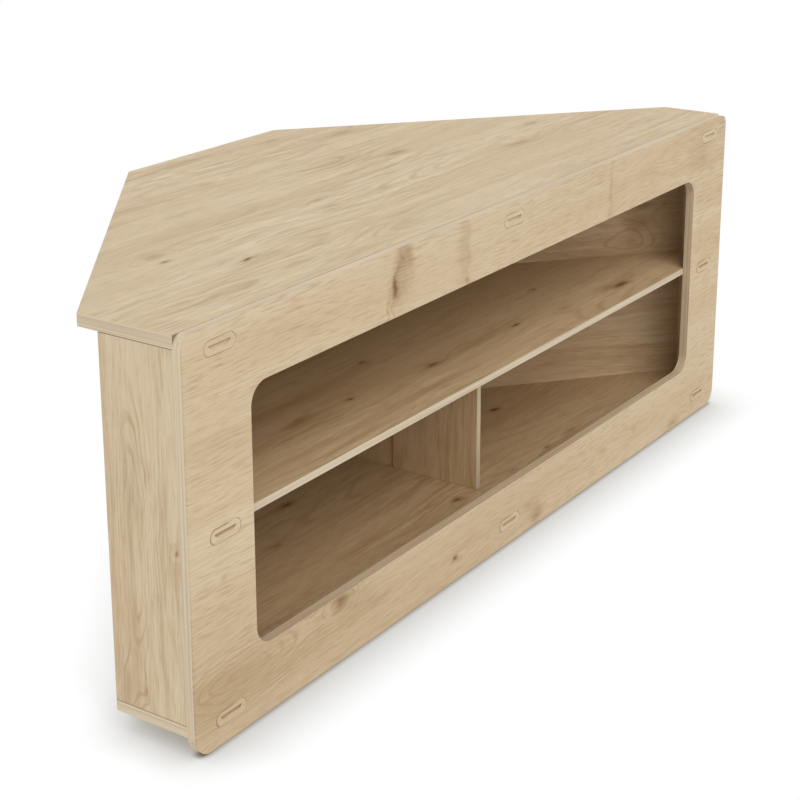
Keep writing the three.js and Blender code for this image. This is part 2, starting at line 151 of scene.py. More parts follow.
# Noise in the oak: waves to the metre along the grain, across it and through the board, then the noise's
# detail, roughness and distortion
LIVELY = ((2.8, 8.0, 2.0), 2.0)
SWAY = ((2.4, 8.0, 1.0), 2.0)
RIPPLE = ((15.0, 45.0, 1.0), 2.0)
GROWTH = ((1.3, 9.0, 1.0), 1.5, 0.45)
RING_PATCHES = ((2.2, 9.0, 1.0), 1.0)
RING_BREAKS = ((9.0, 30.0, 4.0), 2.0)
BROAD = ((1.3, 15.0, 1.0), 3.0, 0.55)
STREAKS = ((2.6, 68.0, 1.0), 4.0, 0.65, 0.5)
FLAMES = ((9.0, 125.0, 1.0), 3.0, 0.62, 0.4)
FIBRES = ((32.0, 400.0, 30.0), 3.0, 0.65)
STROKES = ((32.0, 450.0, 60.0), 1.0, 0.5)
STROKE_PATCHES = ((5.0, 9.0, 3.0), 2.0)
ALONG_WOBBLE = ((22.0, 50.0, 1.0), 3.0)
ACROSS_WOBBLE = ((18.0, 44.0, 2.0), 3.0)
EDGE_LINES = ((4.0, 420.0, 1.0), 2.0)

# How a pattern is read: from one of its values to another and, where given, what these become
LIVELY_SPAN = (0.36, 0.62, 0.35, 1.25)
RING_SPAN = (0.3, 1.0)
RING_PATCH_SPAN = (0.44, 0.64, 0.0, 0.7)
RING_BEND_SPAN = (0.02, 0.12)
RING_BREAK_SPAN = (0.36, 0.60, 0.35, 1.0)
BROAD_SPAN = (0.34, 0.68)
FIBRE_SPAN = (0.48, 0.72, 0.0, 0.45)
STROKE_SPAN = (0.50, 0.68)
STROKE_PATCH_SPAN = (0.34, 0.62, 0.2, 1.0)
KNOT_FIBRE_SPAN = (0.2, 0.7, 0.75, 1.1)
KNOT_DARK_SPAN = (0.45, 1.0, 0.0, 0.8)
EDGE_LINE_SPAN = (0.38, 0.66)

# Pale and tan bands of streaks and flames: from one value to another, the most of the tone, and the tone
STREAK_BANDS = ((0.49, 0.34, 0.75, OAK_PALE), (0.53, 0.74, 0.60, OAK_TAN))
FLAME_BANDS = ((0.48, 0.34, 0.50, OAK_PALE), (0.52, 0.70, 0.45, OAK_TAN))

# How strong the patterns are
SWAY_REACH = 0.034
RIPPLE_REACH = 0.008
WOBBLE_REACH = (0.026, 0.014, 0.0)
RING_DENSITY = 120.0
RING_DARKNESS = 0.58
KNOT_BROWN_GAIN = 1.5
STROKE_DEPTH_SHARE = 0.8

# A mark's bend, its dark heart and the halo round the heart fall off from its middle this sharply
BEND_SHARPNESS = 1.0
HEART_SHARPNESS = 9.0
HALO_SHARPNESS = 2.5
HALO_SHARE = 0.16

# Marks on each board: knots, eyes and streaks where the photograph shows them. Each has its place along and
# across the grain, its reach along and across, how far growth lines bend round it and how dark it is
TOP_MARKS = [
    (-0.2980, 0.1130, 0.120, 0.014, 0.05, 0.22),
    (-0.2760, 0.0480, 0.090, 0.012, 0.05, 0.20),
    (-0.3716, -0.1348, 0.020, 0.007, 0.04, 0.75),
    (-0.3650, -0.1330, 0.070, 0.016, 0.00, 0.18),
    (-0.4303, -0.0671, 0.020, 0.008, 0.04, 0.65),
    (-0.4201, -0.0400, 0.040, 0.022, 0.10, 0.20),
    (0.0926, 0.2039, 0.050, 0.012, 0.05, 0.35),
    (-0.1481, 0.1196, 0.050, 0.016, 0.07, 0.28),
    (0.1873, 0.1550, 0.090, 0.030, 0.12, 0.22),
    (0.0356, 0.0549, 0.100, 0.035, 0.14, 0.14),
    (0.1330, 0.0194, 0.060, 0.018, 0.08, 0.45),
    (-0.1266, -0.0437, 0.030, 0.012, 0.05, 0.42),
    (-0.1529, -0.1923, 0.080, 0.022, 0.10, 0.20),
    (-0.3499, -0.1859, 0.060, 0.014, 0.06, 0.20),
    (-0.4413, -0.1913, 0.060, 0.016, 0.07, 0.18),
    (0.3977, -0.0366, 0.060, 0.018, 0.07, 0.28),
    (0.2757, -0.0887, 0.080, 0.018, 0.07, 0.32),
]
FRAME_SHADES = [
    (-0.3300, 0.0640, 0.090, 0.050, 0.00, 0.12),
    (-0.5600, 0.0650, 0.260, 0.140, 0.00, 0.12),
    (-0.2500, 0.0400, 2.200, 0.300, 0.00, 0.11),
    (0.3000, 0.0400, 1.600, 0.300, 0.00, 0.08),
    (0.1000, 0.4200, 1.900, 0.240, 0.00, 0.10),
    (0.5600, 0.2200, 0.300, 0.900, 0.00, 0.06),
    (-0.5900, 0.0800, 0.500, 0.450, 0.00, 0.06),
]
FRAME_MARKS = [
    (-0.2560, 0.4085, 0.018, 0.034, 0.10, 0.60),
    (-0.2290, 0.4440, 0.024, 0.046, 0.00, 0.26),
    (-0.2425, 0.4440, 0.014, 0.030, 0.00, 0.24),
    (-0.2500, 0.4330, 0.012, 0.030, 0.00, 0.24),
    (-0.2555, 0.4200, 0.011, 0.030, 0.00, 0.24),
    (-0.2681, 0.3853, 0.006, 0.045, 0.00, 0.28),
    (-0.2590, 0.3800, 0.006, 0.035, 0.00, 0.20),
    (-0.2400, 0.4250, 0.042, 0.100, 0.00, 0.24),
    (-0.2230, 0.4300, 0.012, 0.060, 0.00, 0.10),
    (-0.1150, 0.4150, 0.034, 0.170, 0.00, 0.17),
    (-0.1050, 0.4150, 0.010, 0.170, 0.00, 0.12),
    (-0.1085, 0.3790, 0.012, 0.018, 0.03, 0.25),
    (0.2490, 0.4180, 0.015, 0.160, 0.00, 0.16),
    (0.5238, 0.4158, 0.090, 0.070, 0.04, 0.12),
    (-0.3640, 0.0740, 0.036, 0.028, 0.20, 0.50),
    (-0.5500, 0.0700, 0.120, 0.038, 0.40, 0.00),
    (-0.5630, 0.1834, 0.016, 0.014, 0.06, 0.20),
    (-0.2939, 0.0458, 0.050, 0.014, 0.08, 0.12),
    (-0.1262, 0.0318, 0.016, 0.014, 0.08, 0.75),
    (0.0683, 0.0162, 0.040, 0.034, 0.05, 0.36),
    (0.0469, 0.0330, 0.030, 0.020, 0.00, 0.16),
    (0.4700, 0.0100, 0.060, 0.018, 0.06, 0.24),
] + FRAME_SHADES
LEFT_SIDE_MARKS = [
    (0.2500, -0.1740, 0.150, 0.022, 0.22, 0.00),
    (0.2700, -0.1740, 0.200, 0.050, 0.00, 0.16),
    (0.1400, -0.1790, 0.080, 0.014, 0.10, 0.05),
    (0.0560, -0.1560, 0.050, 0.016, 0.14, 0.20),
    (0.0600, -0.1800, 0.026, 0.012, 0.08, 0.35),
    (0.2262, -0.2275, 0.010, 0.006, 0.03, 0.60),
]
SHELF_MARKS = [
    (-0.2904, -0.1343, 0.090, 0.020, 0.04, 0.50),
    (-0.1983, -0.1399, 0.017, 0.007, 0.03, 0.80),
    (-0.0452, -0.1556, 0.042, 0.014, 0.06, 0.72),
    (-0.0883, -0.0789, 0.020, 0.008, 0.03, 0.70),
    (0.3909, -0.1946, 0.055, 0.016, 0.06, 0.75),
    (0.3685, -0.1871, 0.090, 0.024, 0.07, 0.30),
    (0.2931, -0.1010, 0.016, 0.007, 0.03, 0.82),
    (0.2522, -0.1789, 0.050, 0.014, 0.04, 0.30),
    (0.1480, -0.1627, 0.030, 0.009, 0.04, 0.75),
    (0.0693, -0.1551, 0.300, 0.030, 0.06, 0.25),
    (-0.2500, -0.0900, 0.400, 0.040, 0.06, 0.25),
]
FLOOR_MARKS = [
    (-0.1460, 0.0031, 0.036, 0.012, 0.05, 0.78),
    (-0.0083, -0.1725, 0.026, 0.014, 0.05, 0.75),
    (0.2889, -0.0453, 0.032, 0.012, 0.03, 1.00),
    (0.2105, -0.1794, 0.026, 0.008, 0.03, 0.60),
    (0.2841, -0.1764, 0.046, 0.016, 0.05, 0.42),
    (-0.2433, -0.0618, 0.020, 0.010, 0.03, 0.40),
    (-0.3600, -0.1780, 0.070, 0.026, 0.20, 0.10),
]
RIGHT_BACK_MARKS = [
    (0.5060, 0.2850, 0.070, 0.044, 0.08, 0.50),
    (0.4930, 0.2560, 0.040, 0.030, 0.10, 0.26),
    (0.5070, 0.3136, 0.080, 0.016, 0.05, 0.40),
    (0.5269, 0.2257, 0.080, 0.020, 0.04, 0.30),
    (0.4000, 0.2500, 0.120, 0.026, 0.07, 0.05),
]

# The slanting back panels in plan: along each one, and square to it
RIGHT_SLANT = Vector((460, -390, 0)).normalized()
RIGHT_SLANT_OUT = Vector((390, 460, 0)).normalized()
LEFT_SLANT = Vector((-460, -355, 0)).normalized()
LEFT_SLANT_OUT = Vector((-355, 460, 0)).normalized()

# Directions along the grain, across it and through the board
LYING = (X_AXIS, Y_AXIS, Z_AXIS)
FACING_FRONT = (X_AXIS, Z_AXIS, Y_AXIS)
UPRIGHT = (Z_AXIS, Y_AXIS, X_AXIS)
ALONG_RIGHT_BACK = (RIGHT_SLANT, Z_AXIS, RIGHT_SLANT_OUT)
ALONG_LEFT_BACK = (LEFT_SLANT, Z_AXIS, LEFT_SLANT_OUT)

# Arrises that meet another board, each by its outward direction; painted seam shade lies on them
FRAME_SEAMS = [(0, 1, 1)]
TOP_SEAMS = [(0, -1, 1)]
SIDE_SEAMS = [(-1, 0, 1), (-1, 0, -1)]
BOTTOM_SEAMS = [(-1, 0, 1)]


@dataclass
class Board:
    """How the laminate of one board lies and looks."""

    material: str
    grain: tuple
    shift: float  # moves the pattern, so that no two boards look alike
    marks: tuple = ()
    tint: tuple = SIDE_TINT
    strokes: float = 0.3
    figure: float = 1.0
    edge_tint: tuple = WHITE
    seams: tuple = ()
    seam_end: float = NO_END
    is_frame: bool = False
    has_corner_gap_shade: bool = False


BOARDS = {
    "top_panel": Board(
        "oak_top",
        LYING,
        3.1,
        TOP_MARKS,
        TOP_TINT,
        seams=TOP_SEAMS,
        seam_end=TOP_SEAM_END,
        has_corner_gap_shade=True,
    ),
    "front_frame": Board(
        "oak_frame",
        FACING_FRONT,
        7.7,
        FRAME_MARKS,
        FRAME_TINT,
        strokes=0.5,
        figure=0.36,
        seams=FRAME_SEAMS,
        is_frame=True,
    ),
    "bottom_panel": Board("oak_bottom", LYING, 12.9, FLOOR_MARKS, INNER_FLOOR_SHADE_TINT, seams=BOTTOM_SEAMS),
    "shelf": Board("oak_shelf", LYING, 17.3, SHELF_MARKS, SHELF_SHADE_TINT, edge_tint=SHELF_EDGE_TINT),
    "left_side_panel": Board("oak_left_side", UPRIGHT, 23.1, LEFT_SIDE_MARKS, figure=0.8, seams=SIDE_SEAMS),
    "right_side_panel": Board("oak_right_side", UPRIGHT, 29.8),
    "right_back_panel": Board("oak_right_back", ALONG_RIGHT_BACK, 34.6, RIGHT_BACK_MARKS, BACK_SHADE_TINT),
    "left_back_panel": Board("oak_left_back", ALONG_LEFT_BACK, 41.2, tint=BACK_SHADE_TINT),
    "rear_centre_panel": Board("oak_rear", FACING_FRONT, 47.5, tint=BACK_SHADE_TINT),
    "top_front_rail": Board("oak_rail", FACING_FRONT, 52.4, tint=BACK_SHADE_TINT),
    "centre_divider": Board("oak_divider", UPRIGHT, 58.7, tint=SHELF_SHADE_TINT, edge_tint=DIVIDER_EDGE_TINT),
    "rear_divider": Board("oak_rear_divider", UPRIGHT, 61.3, tint=SHELF_SHADE_TINT),
}

# Fixings and feet: colour, roughness, metallic, mottling in waves to the metre, and how much darker it gets
PLAIN_LOOKS = {
    "zinc_steel": ((0.55, 0.56, 0.56, 1), 0.35, 1.0, (900.0, 900.0, 200.0), 0.3),
    "beech": ((0.62, 0.46, 0.28, 1), 0.75, 0.0, (400.0, 400.0, 60.0), 0.3),
    "foot_plastic": ((0.03, 0.03, 0.03, 1), 0.5, 0.0, (700.0, 700.0, 700.0), 0.4),
}


class Tree:
    """A short way to write a material's or a group's nodes."""

    def __init__(self, node_tree):
        self.nodes = node_tree.nodes
        self.links = node_tree.links

    def feed(self, socket, value):
        if isinstance(value, bpy.types.NodeSocket):
            self.links.new(value, socket)
        else:
            socket.default_value = value

    def node(self, kind, settings=None, **inputs):
        made = self.nodes.new(kind)
        for name, value in (settings or {}).items():
            setattr(made, name, value)
        for name, value in inputs.items():
            self.feed(made.inputs[name.replace("_", " ")], value)
        return made

    def group(self, tree, **inputs):
        return self.node("ShaderNodeGroup", {"node_tree": tree}, **inputs)

    def here(self):
        """The place on the object, in the row's frame."""
        return self.node("ShaderNodeTexCoord").outputs["Object"]

    def math(self, operation, *values, clamp=False):
        made = self.node("ShaderNodeMath", {"operation": operation, "use_clamp": clamp})
        for socket, value in zip(made.inputs, values):
            self.feed(socket, value)
        return made.outputs[0]

    def vector(self, operation, *values):
        made = self.node("ShaderNodeVectorMath", {"operation": operation})
        for socket, value in zip(made.inputs, values):
            self.feed(socket, value)
        return made.outputs["Value" if operation in ("DOT_PRODUCT", "LENGTH") else "Vector"]

    def dot(self, a, b):
        return self.vector("DOT_PRODUCT", a, b)

    def combine(self, x, y, z):
        return self.node("ShaderNodeCombineXYZ", X=x, Y=y, Z=z).outputs[0]

    def split(self, vector):
        return self.node("ShaderNodeSeparateXYZ", Vector=vector).outputs

    def noise(self, place, waves, detail, roughness=0.5, distortion=0.0):
        """Noise stretched by its waves to the metre in each direction."""
        made = self.node(
            "ShaderNodeTexNoise",
            Vector=self.vector("MULTIPLY", place, waves),
            Scale=1.0,
            Detail=detail,
            Roughness=roughness,
            Distortion=distortion,
        )
        return made.outputs["Fac"]

    def swing(self, place, pattern):
        """Noise that swings about zero."""
        return self.math("SUBTRACT", self.noise(place, *pattern), 0.5)

    def ramp(self, value, low, high, to_low=0.0, to_high=1.0):
        made = self.node(
            "ShaderNodeMapRange",
            {"interpolation_type": "SMOOTHSTEP"},
            Value=value,
            From_Min=low,
            From_Max=high,
            To_Min=to_low,
            To_Max=to_high,
        )
        return made.outputs[0]

    def mix(self, factor, a, b, blend="MIX"):
        made = self.node("ShaderNodeMix", {"data_type": "RGBA", "blend_type": blend})
        self.feed(made.inputs["Factor"], factor)
        self.feed(made.inputs[6], a)
        self.feed(made.inputs[7], b)
        return made.outputs[2]


def new_group(name, inputs, outputs):
    """An empty shader group with its sockets, each a name and a kind."""
    group = bpy.data.node_groups.new(name, "ShaderNodeTree")
    for direction, sockets in (("INPUT", inputs), ("OUTPUT", outputs)):
        for socket, kind in sockets.items():
            group.interface.new_socket(socket, in_out=direction, socket_type="NodeSocket" + kind)
    return group


def new_material(name):
    """An empty material, the tree of its nodes and its shader."""
    material = bpy.data.materials.new(name)
    material.use_nodes = True
    t = Tree(material.node_tree)
    return material, t, t.nodes["Principled BSDF"]


def add_relief(t, shader, height, depth):
    """A fine relief in the surface, this deep."""
    bump = t.node("ShaderNodeBump", Height=height, Strength=RELIEF_STRENGTH, Distance=depth)
    t.feed(shader.inputs["Normal"], bump.outputs[0])


def bell(t, square, sharpness):
    """One where the square is zero, falling off round it."""
    return t.math("POWER", math.e, t.math("MULTIPLY", square, -sharpness))


def mark_group():
    """One knot or streak: it bends the growth lines round it and darkens its heart."""
    group = new_group(
        "oak_mark",
        {
            "Place": "Vector",
            "Centre": "Vector",
            "Scale": "Vector",
            "Bend": "Float",
            "Dark": "Float",
            "Bend so far": "Float",
            "Dark so far": "Float",
        },
        {"Bend": "Float", "Dark": "Float"},
    )
    t = Tree(group)
    given = t.node("NodeGroupInput").outputs
    from_centre = t.vector("MULTIPLY", t.vector("SUBTRACT", given["Place"], given["Centre"]), given["Scale"])
    square = t.dot(from_centre, from_centre)
    heart = t.math("MULTIPLY", bell(t, square, HEART_SHARPNESS), 1 - HALO_SHARE)
    heart = t.math("MULTIPLY_ADD", bell(t, square, HALO_SHARPNESS), HALO_SHARE, heart)
    bend = t.math("MULTIPLY_ADD", bell(t, square, BEND_SHARPNESS), given["Bend"], given["Bend so far"])
    out = t.node("NodeGroupOutput")
    t.feed(out.inputs["Bend"], bend)
    t.feed(out.inputs["Dark"], t.math("MULTIPLY_ADD", heart, given["Dark"], given["Dark so far"]))
    return group


def swayed_place(t, place, figure):
    """The place moved across the grain, so that the pattern runs in slow waves with small ripples."""
    sway = t.math("MULTIPLY", t.swing(place, SWAY), SWAY_REACH)
    ripple = t.math("MULTIPLY", t.swing(place, RIPPLE), t.math("MULTIPLY", figure, RIPPLE_REACH))
    return t.vector("ADD", place, t.combine(0.0, t.math("ADD", sway, ripple), 0.0))


def growth_rings(t, place, swayed, bend, figure):
    """Growth lines, drawn in patches and wherever marks bend them, and broken here and there."""
    field = t.math("ADD", t.noise(swayed, *GROWTH), bend)
    rings = t.ramp(t.math("SINE", t.math("MULTIPLY", field, RING_DENSITY)), *RING_SPAN)
    reach = t.math("MULTIPLY", t.ramp(t.noise(place, *RING_PATCHES), *RING_PATCH_SPAN), figure)
    reach = t.math("MAXIMUM", reach, t.ramp(bend, *RING_BEND_SPAN))
    broken = t.ramp(t.noise(place, *RING_BREAKS), *RING_BREAK_SPAN)
    return t.math("MULTIPLY", rings, t.math("MULTIPLY", reach, broken))


def short_strokes(t, place, swayed, strength):
    """Fine short strokes along the grain, in patches."""
    strokes = t.ramp(t.noise(swayed, *STROKES), *STROKE_SPAN)
    patches = t.ramp(t.noise(place, *STROKE_PATCHES), *STROKE_PATCH_SPAN)
    return t.math("MULTIPLY", strokes, t.math("MULTIPLY", patches, strength))


def clear_oak(t, swayed, figure, rings, fibres, strokes):
    """The laminate's colour without its knots."""
    colour = t.mix(t.ramp(t.noise(swayed, *BROAD), *BROAD_SPAN), OAK_LIGHT, OAK_MIDDLE)
    for pattern, bands in ((STREAKS, STREAK_BANDS), (FLAMES, FLAME_BANDS)):
        noise = t.noise(swayed, *pattern)
        for start, full, most, tone in bands:
            share = t.math("MULTIPLY", t.ramp(noise, start, full, 0.0, most), figure, clamp=True)
            colour = t.mix(share, colour, tone)
    colour = t.mix(t.math("MULTIPLY", rings, RING_DARKNESS), colour, OAK_TAN)
    colour = t.mix(t.ramp(fibres, *FIBRE_SPAN), colour, OAK_TAN)
    return t.mix(strokes, colour, OAK_TAN)


def with_knots(t, colour, dark, fibres):
    """The colour with the marks' darkness laid over it: brown at first, and dark at the heart."""
    dark = t.math("MULTIPLY", dark, t.ramp(fibres, *KNOT_FIBRE_SPAN))
    colour = t.mix(t.math("MULTIPLY", dark, KNOT_BROWN_GAIN, clamp=True), colour, OAK_BROWN)
    return t.mix(t.ramp(dark, *KNOT_DARK_SPAN), colour, OAK_DARK)


def oak_group():
    """Oak laminate, from a place on the board and the bend and darkness of the marks there."""
    group = new_group(
        "oak",
        {"Place": "Vector", "Bend": "Float", "Dark": "Float", "Strokes": "Float", "Figure": "Float"},
        {"Colour": "Color", "Height": "Float"},
    )
    t = Tree(group)
    given = t.node("NodeGroupInput").outputs
    place = given["Place"]
    figure = t.math("MULTIPLY", given["Figure"], t.ramp(t.noise(place, *LIVELY), *LIVELY_SPAN))
    swayed = swayed_place(t, place, figure)
    rings = growth_rings(t, place, swayed, given["Bend"], given["Figure"])
    strokes = short_strokes(t, place, swayed, given["Strokes"])
    fibres = t.noise(swayed, *FIBRES)
    colour = clear_oak(t, swayed, figure, rings, fibres, strokes)
    out = t.node("NodeGroupOutput")
    t.feed(out.inputs["Colour"], with_knots(t, colour, given["Dark"], fibres))
    t.feed(out.inputs["Height"], t.math("SUBTRACT", fibres, t.math("MULTIPLY", strokes, STROKE_DEPTH_SHARE)))
    return group


MARK = mark_group()
OAK = oak_group()


def board_place(t, grain, marks):
    """The place on a board along and across its grain, with the bend and the darkness of its marks."""
    along, across, _ = grain
    here = t.here()
    flat = t.combine(t.dot(here, along), t.dot(here, across), 0.0)
    wobble = t.combine(t.swing(flat, ALONG_WOBBLE), t.swing(flat, ACROSS_WOBBLE), 0.0)
    worn = t.vector("ADD", flat, t.vector("MULTIPLY", wobble, WOBBLE_REACH))
    bend, dark = 0.0, 0.0
    for place_along, place_across, reach_along, reach_across, bend_by, darkness in marks:
        made = t.group(
            MARK,
            Place=worn,
            Centre=(place_along, place_across, 0.0),
            Scale=(1 / reach_along, 1 / reach_across, 0.0),
            Bend=bend_by,
            Dark=darkness,
            Bend_so_far=bend,
            Dark_so_far=dark,
        )
        bend, dark = made.outputs["Bend"], made.outputs["Dark"]
    return flat, bend, dark


def laminate(t, grain, shift, marks, tint, strokes, figure):
    """Oak with its marks: the tinted colour, and the height of its fibres."""
    flat, bend, dark = board_place(t, grain, marks)
    place = t.vector("ADD", flat, (shift, -shift, shift))
    oak = t.group(OAK, Place=place, Bend=bend, Dark=dark, Strokes=strokes, Figure=figure).outputs
    return t.mix(1.0, oak["Colour"], tint, "MULTIPLY"), oak["Height"]


def seam_shade_mask(t, here, normal, seams, seam_end):
    """One where a face lies on an arris that meets another board, up to a place to the right: where painted
    seam shade goes.
    """
    mask = 0.0
    for direction in seams:
        on_arris = t.ramp(t.dot(normal, Vector(direction).normalized()), *ARRIS_FACING)
        mask = t.math("MAXIMUM", mask, on_arris)
    return t.math("MULTIPLY", mask, t.math("LESS_THAN", t.dot(here, X_AXIS), seam_end))


def edge_band(t, here, normal, through):
    """The band on a board's edge, pale, with faint lines along the edge."""
    run = t.vector("CROSS_PRODUCT", normal, through)
    on_edge = t.combine(t.dot(here, run), t.dot(here, through), 0.0)
    lines = t.noise(on_edge, *EDGE_LINES)
    return t.mix(t.ramp(lines, *EDGE_LINE_SPAN), EDGE_BAND, EDGE_BAND_STREAK)


def past_lip(t, here, is_edge):
    """The share of edge band left where the face's laminate wraps over the frame's outer arrises."""
    x, y, z = t.split(here)
    past_side = t.math("GREATER_THAN", t.math("ABSOLUTE", x), OUTER_SIDE)
    past_top = t.math("GREATER_THAN", z, OUTER_TOP)
    over_lip = t.math("LESS_THAN", y, FRAME_FRONT + FACE_LIP)
    wrapped = t.math("MULTIPLY", t.math("MAXIMUM", past_side, past_top), over_lip)
    return t.math("SUBTRACT", is_edge, wrapped, clamp=True)


def opening_edge_shade(t, here):
    """Painted shade: the edge round the opening is a little darker than the frame's outer edges."""
    x, _, z = t.split(here)
    inside = t.math("LESS_THAN", t.math("ABSOLUTE", x), INNER_SIDE)
    inside = t.math("MULTIPLY", inside, t.math("GREATER_THAN", z, INNER_BOTTOM))
    inside = t.math("MULTIPLY", inside, t.math("LESS_THAN", z, INNER_TOP))
    return t.mix(inside, WHITE, OPENING_EDGE_SHADE)


def foot_contact_shade(t, here, colour):
    """The frame's colour with painted contact shade on its lower arris, where it stands on the floor."""
    share = t.ramp(t.dot(here, Z_AXIS), *FOOT_SHADE_HEIGHTS, 0.0, FOOT_SHADE_SHARE)
    return t.mix(share, colour, FOOT_SHADE_COLOUR)


def corner_gap_shade(t, here, normal):
    """One on the top's front edge at the left end: painted shade for the dark gap behind the frame's rounded
    corner.
    """
    to_front = t.ramp(t.dot(normal, FORWARD), *FRONT_FACING)
    at_left = t.math("LESS_THAN", t.dot(here, X_AXIS), CORNER_GAP_SHADE_END)
    return t.math("MULTIPLY", to_front, at_left)


def with_edges(t, board, here, normal, face):
    """The face's colour with the band on the board's edges."""
    through = board.grain[2]
    is_edge = t.ramp(t.math("ABSOLUTE", t.dot(normal, through)), *EDGE_FACING)
    edge_tint = board.edge_tint
    if board.is_frame:
        is_edge = past_lip(t, here, is_edge)
        # painted shade on the edges round the opening
        edge_tint = opening_edge_shade(t, here)
    band = t.mix(1.0, edge_band(t, here, normal, through), edge_tint, "MULTIPLY")
    return t.mix(is_edge, face, band)


def board_material(board):
    """Oak on a board's two faces, a pale band on its edges, and lines of painted shade where it meets others.
    """
    material, t, shader = new_material(board.material)
    face, height = laminate(t, board.grain, board.shift, board.marks, board.tint, board.strokes, board.figure)
    here = t.here()
    normal = t.node("ShaderNodeNewGeometry").outputs["True Normal"]
    colour = with_edges(t, board, here, normal, face)
    if board.is_frame:
        # painted contact shade on the frame's lower arris
        colour = foot_contact_shade(t, here, colour)
    if board.seams:
        # painted shade in the seams where boards meet
        colour = t.mix(seam_shade_mask(t, here, normal, board.seams, board.seam_end), colour, SEAM_SHADE)
    if board.has_corner_gap_shade:
        # painted shade in the gap behind the frame's left corner
        colour = t.mix(corner_gap_shade(t, here, normal), colour, SEAM_SHADE)
    t.feed(shader.inputs["Base Color"], colour)
    shader.inputs["Roughness"].default_value = OAK_ROUGHNESS
    shader.inputs["Specular IOR Level"].default_value = OAK_SPECULAR
    add_relief(t, shader, height, OAK_RELIEF)
    return material


def cap_rim(t, low, high, x, z):
    """One on the rim of a cap between two corners, and how far the place lies to its upper left."""
    middle = (low + high) / 2
    radius = (high.z - low.z) / 2
    straight = (high.x - low.x) / 2 - radius
    from_middle = t.math("SUBTRACT", x, middle.x)
    above_middle = t.math("SUBTRACT", z, middle.z)
    past_straight = t.math("SUBTRACT", t.math("ABSOLUTE", from_middle), straight)
    past_straight = t.math("MAXIMUM", past_straight, 0.0)
    to_rim = t.math("SUBTRACT", t.vector("LENGTH", t.combine(past_straight, above_middle, 0.0)), radius)
    upwards = t.math("DIVIDE", above_middle, radius)
    leftwards = t.math("SUBTRACT", upwards, t.math("DIVIDE", from_middle, straight))
    return t.ramp(to_rim, -CAP_RIM, -CAP_RIM / 2), leftwards


def cap_material(node):
    """Oak on a cap: painted shade in the finger notch and on the rim's upper left, and a painted highlight on
    the rim opposite.
    """
    low, high = (Vector(corner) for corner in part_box(node))
    share = UPPER_CAP_SHARE if low.z > OPENING_TOP else 1.0
    material, t, shader = new_material("oak_" + node)
    face, _ = laminate(t, FACING_FRONT, CAP_SHIFT, FRAME_SHADES, FRAME_TINT, CAP_STROKES, CAP_FIGURE)
    face = t.mix(CAP_PALENESS, face, OAK_PALE)
    x, y, z = t.split(t.here())
    rim, leftwards = cap_rim(t, low, high, x, z)
    # painted shade on the rim's upper left, painted highlight on its lower right
    rim_shade = t.math("MULTIPLY", rim, t.ramp(leftwards, *UPPER_LEFT, 0.0, CAP_RIM_SHADE * share))
    rim_highlight = t.math("MULTIPLY", rim, t.ramp(leftwards, *LOWER_RIGHT, 0.0, CAP_RIM_HIGHLIGHT))
    colour = t.mix(rim_highlight, t.mix(rim_shade, face, OAK_BROWN), OAK_PALE)
    # painted shade in the finger notch, darker where it is deeper
    depth = t.math("SUBTRACT", y, FRAME_FRONT)
    colour = t.mix(t.ramp(depth, *NOTCH_SHADE_DEPTH, 0.0, NOTCH_SHADE_SHARE * share), colour, OAK_BROWN)
    colour = t.mix(t.ramp(depth, *NOTCH_DEEP_SHADE_DEPTH, 0.0, NOTCH_DEEP_SHADE_SHARE * share), colour, OAK_DARK)
    t.feed(shader.inputs["Base Color"], colour)
    shader.inputs["Roughness"].default_value = CAP_ROUGHNESS
    shader.inputs["Specular IOR Level"].default_value = OAK_SPECULAR
    return material


def plain_material(name, colour, roughness, metallic, waves, contrast):
    """A material with fine mottling, for steel, beech and moulded plastic."""
    material, t, shader = new_material(name)
    mottle = t.noise(t.here(), waves, MOTTLE_DETAIL)
    darker = tuple(c * (1 - contrast) for c in colour[:3]) + (1,)
    t.feed(shader.inputs["Base Color"], t.mix(mottle, colour, darker))
    shader.inputs["Roughness"].default_value = roughness
    shader.inputs["Metallic"].default_value = metallic
    add_relief(t, shader, mottle, PLAIN_RELIEF)
    return material


def plain_kind(node):
    """What a piece that isn't of oak is made of."""
    if "dowel" in node:
        return "beech"
    if "screw" in node:
        return "zinc_steel"
    return "foot_plastic"


def round_arrises(piece, width):
    """Fine rounding of a board's or a cap's arrises."""
    weld = piece.modifiers.new("weld", "WELD")
    weld.merge_threshold = WELD_DISTANCE
    bevel = piece.modifiers.new("bevel", "BEVEL")
    bevel.width = width
    bevel.segments = ROUNDING_STEPS
    bevel.limit_method = "ANGLE"
    bevel.angle_limit = ROUNDING_ANGLE
    bevel.use_clamp_overlap = True


# Dress every piece
plain_materials = {name: plain_material(name, *looks) for name, looks in PLAIN_LOOKS.items()}
for node, piece in nodes.items():
    if node in BOARDS:
        material = board_material(BOARDS[node])
        round_arrises(piece, EDGE_ROUNDING)
    elif node.startswith("cap_"):
        material = cap_material(node)
        round_arrises(piece, CAP_ROUNDING)
    else:
        material = plain_materials[plain_kind(node)]
    piece.data.materials.clear()
    piece.data.materials.append(material)


def seen_or_mirrored(t):
    """One for rays that show the stage itself: straight, in a mirror or through glass."""
    ray = t.node("ShaderNodeLightPath").outputs
    mirrored = t.math("MAXIMUM", ray["Is Glossy Ray"], ray["Is Transmission Ray"])
    return t.math("MAXIMUM", ray["Is Camera Ray"], mirrored)


def nearness(t, reach):
    """How much of the sky above the floor the cabinet hides within a reach."""
    open_share = t.node("ShaderNodeAmbientOcclusion", Distance=reach).outputs["AO"]
    return t.math("SUBTRACT", 1.0, open_share, clamp=True)


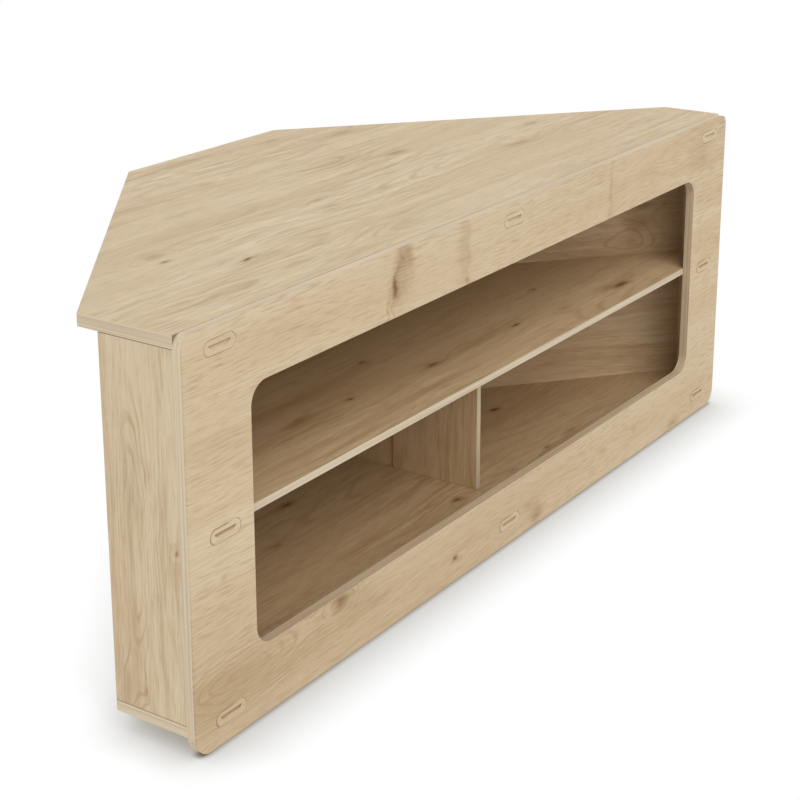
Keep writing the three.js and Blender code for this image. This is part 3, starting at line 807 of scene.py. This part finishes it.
def floor_finish():
    """White to the eye, with the cabinet's soft shadow, and pale matt to all other light."""
    material, t, matt = new_material("studio_floor")
    matt.inputs["Base Color"].default_value = FLOOR_COLOUR
    matt.inputs["Roughness"].default_value = 1.0
    matt.inputs["Specular IOR Level"].default_value = 0.0
    sideways, depth, _ = t.split(t.here())
    near = nearness(t, t.ramp(sideways, *SHADOW_SIDE, SHADOW_REACH, SIDE_SHADOW_REACH))
    shade = t.math("MULTIPLY", near, t.ramp(depth, *SHADOW_DEPTH, 1.0, BACK_SHADOW_SHARE))
    shadowed = t.mix(shade, WHITE, SHADOW_TONE)
    shown = t.mix(nearness(t, CONTACT_REACH), shadowed, CONTACT_TONE)
    white = t.node("ShaderNodeEmission", Color=shown, Strength=1.0)
    mixed = t.node("ShaderNodeMixShader", Fac=seen_or_mirrored(t))
    t.feed(mixed.inputs[1], matt.outputs[0])
    t.feed(mixed.inputs[2], white.outputs[0])
    t.feed(t.nodes["Material Output"].inputs["Surface"], mixed.outputs[0])
    return material


def add_object(name, data):
    """An object in the scene that holds a mesh, a lamp or a camera."""
    made = bpy.data.objects.new(name, data)
    bpy.context.scene.collection.objects.link(made)
    return made


def add_floor():
    reach = FLOOR_REACH
    corners = [(-reach, -reach, 0), (reach, -reach, 0), (reach, reach, 0), (-reach, reach, 0)]
    mesh = bpy.data.meshes.new("studio_floor")
    mesh.from_pydata(corners, [], [(0, 1, 2, 3)])
    mesh.materials.append(floor_finish())
    floor = add_object("studio_floor", mesh)


def add_sky():
    """An even sky that lights the cabinet, and is plain white where it shows itself."""
    world = bpy.data.worlds.new("studio")
    world.use_nodes = True
    t = Tree(world.node_tree)
    sky = t.nodes["Background"]
    sky.inputs["Color"].default_value = WHITE
    strength = t.node("ShaderNodeMapRange", Value=seen_or_mirrored(t), To_Min=SKY_STRENGTH, To_Max=1.0)
    t.feed(sky.inputs["Strength"], strength.outputs[0])
    bpy.context.scene.world = world


def looking(azimuth, elevation):
    """The turn of what looks along +Y, turned by the azimuth to +X and down by the elevation."""
    level = math.cos(elevation)
    ahead = Vector((math.sin(azimuth) * level, math.cos(azimuth) * level, -math.sin(elevation)))
    return ahead.to_track_quat("-Z", "Y").to_euler()


def add_key_light():
    lamp = bpy.data.lights.new("key", "SUN")
    lamp.energy = KEY_STRENGTH
    lamp.angle = KEY_SPREAD
    add_object("key", lamp).rotation_euler = looking(KEY_AZIMUTH, KEY_ELEVATION)


def add_camera():
    lens = bpy.data.cameras.new("camera")
    lens.sensor_width = SENSOR_WIDTH
    lens.lens = CAMERA_LENS
    lens.shift_x, lens.shift_y = CAMERA_SHIFT
    camera = add_object("camera", lens)
    camera.location = CAMERA_PLACE
    camera.rotation_euler = looking(CAMERA_AZIMUTH, CAMERA_ELEVATION)
    bpy.context.scene.camera = camera


add_floor()
add_sky()
add_key_light()
add_camera()
bpy.context.scene.view_settings.view_transform = "Standard"
